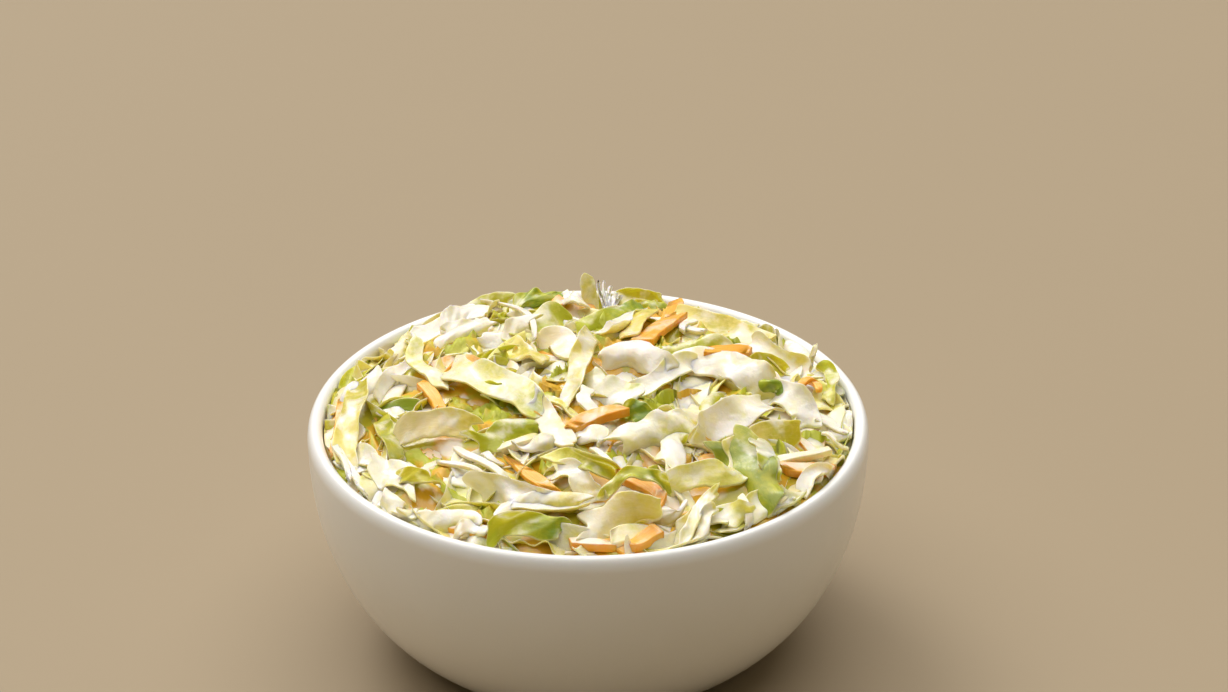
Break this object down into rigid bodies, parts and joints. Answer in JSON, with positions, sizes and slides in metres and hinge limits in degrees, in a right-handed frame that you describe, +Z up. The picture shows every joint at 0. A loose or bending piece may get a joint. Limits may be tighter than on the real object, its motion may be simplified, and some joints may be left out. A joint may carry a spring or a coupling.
{
  "type": "bowl of coleslaw",
  "caption": "Round white glazed bowl heaped above its rim with coleslaw: shredded pale and green cabbage and carrot sticks in a creamy dressing.",
  "frame": {"origin": "centre of the bowl's foot, on the surface it stands on", "axes": "+Z up through the middle of the bowl; -Y towards the side of the bowl that was nearest the viewer"},
  "size_m": [0.14, 0.14, 0.072],
  "materials": {
    "white_glaze": "gloss",
    "pale_cabbage": "satin",
    "green_cabbage": "satin",
    "carrot": "satin",
    "dressing": "gloss"
  },
  "bodies": {
    "root": {"bowl": "white_glaze", "slaw": "pale_cabbage"}
  },
  "joints": []
}
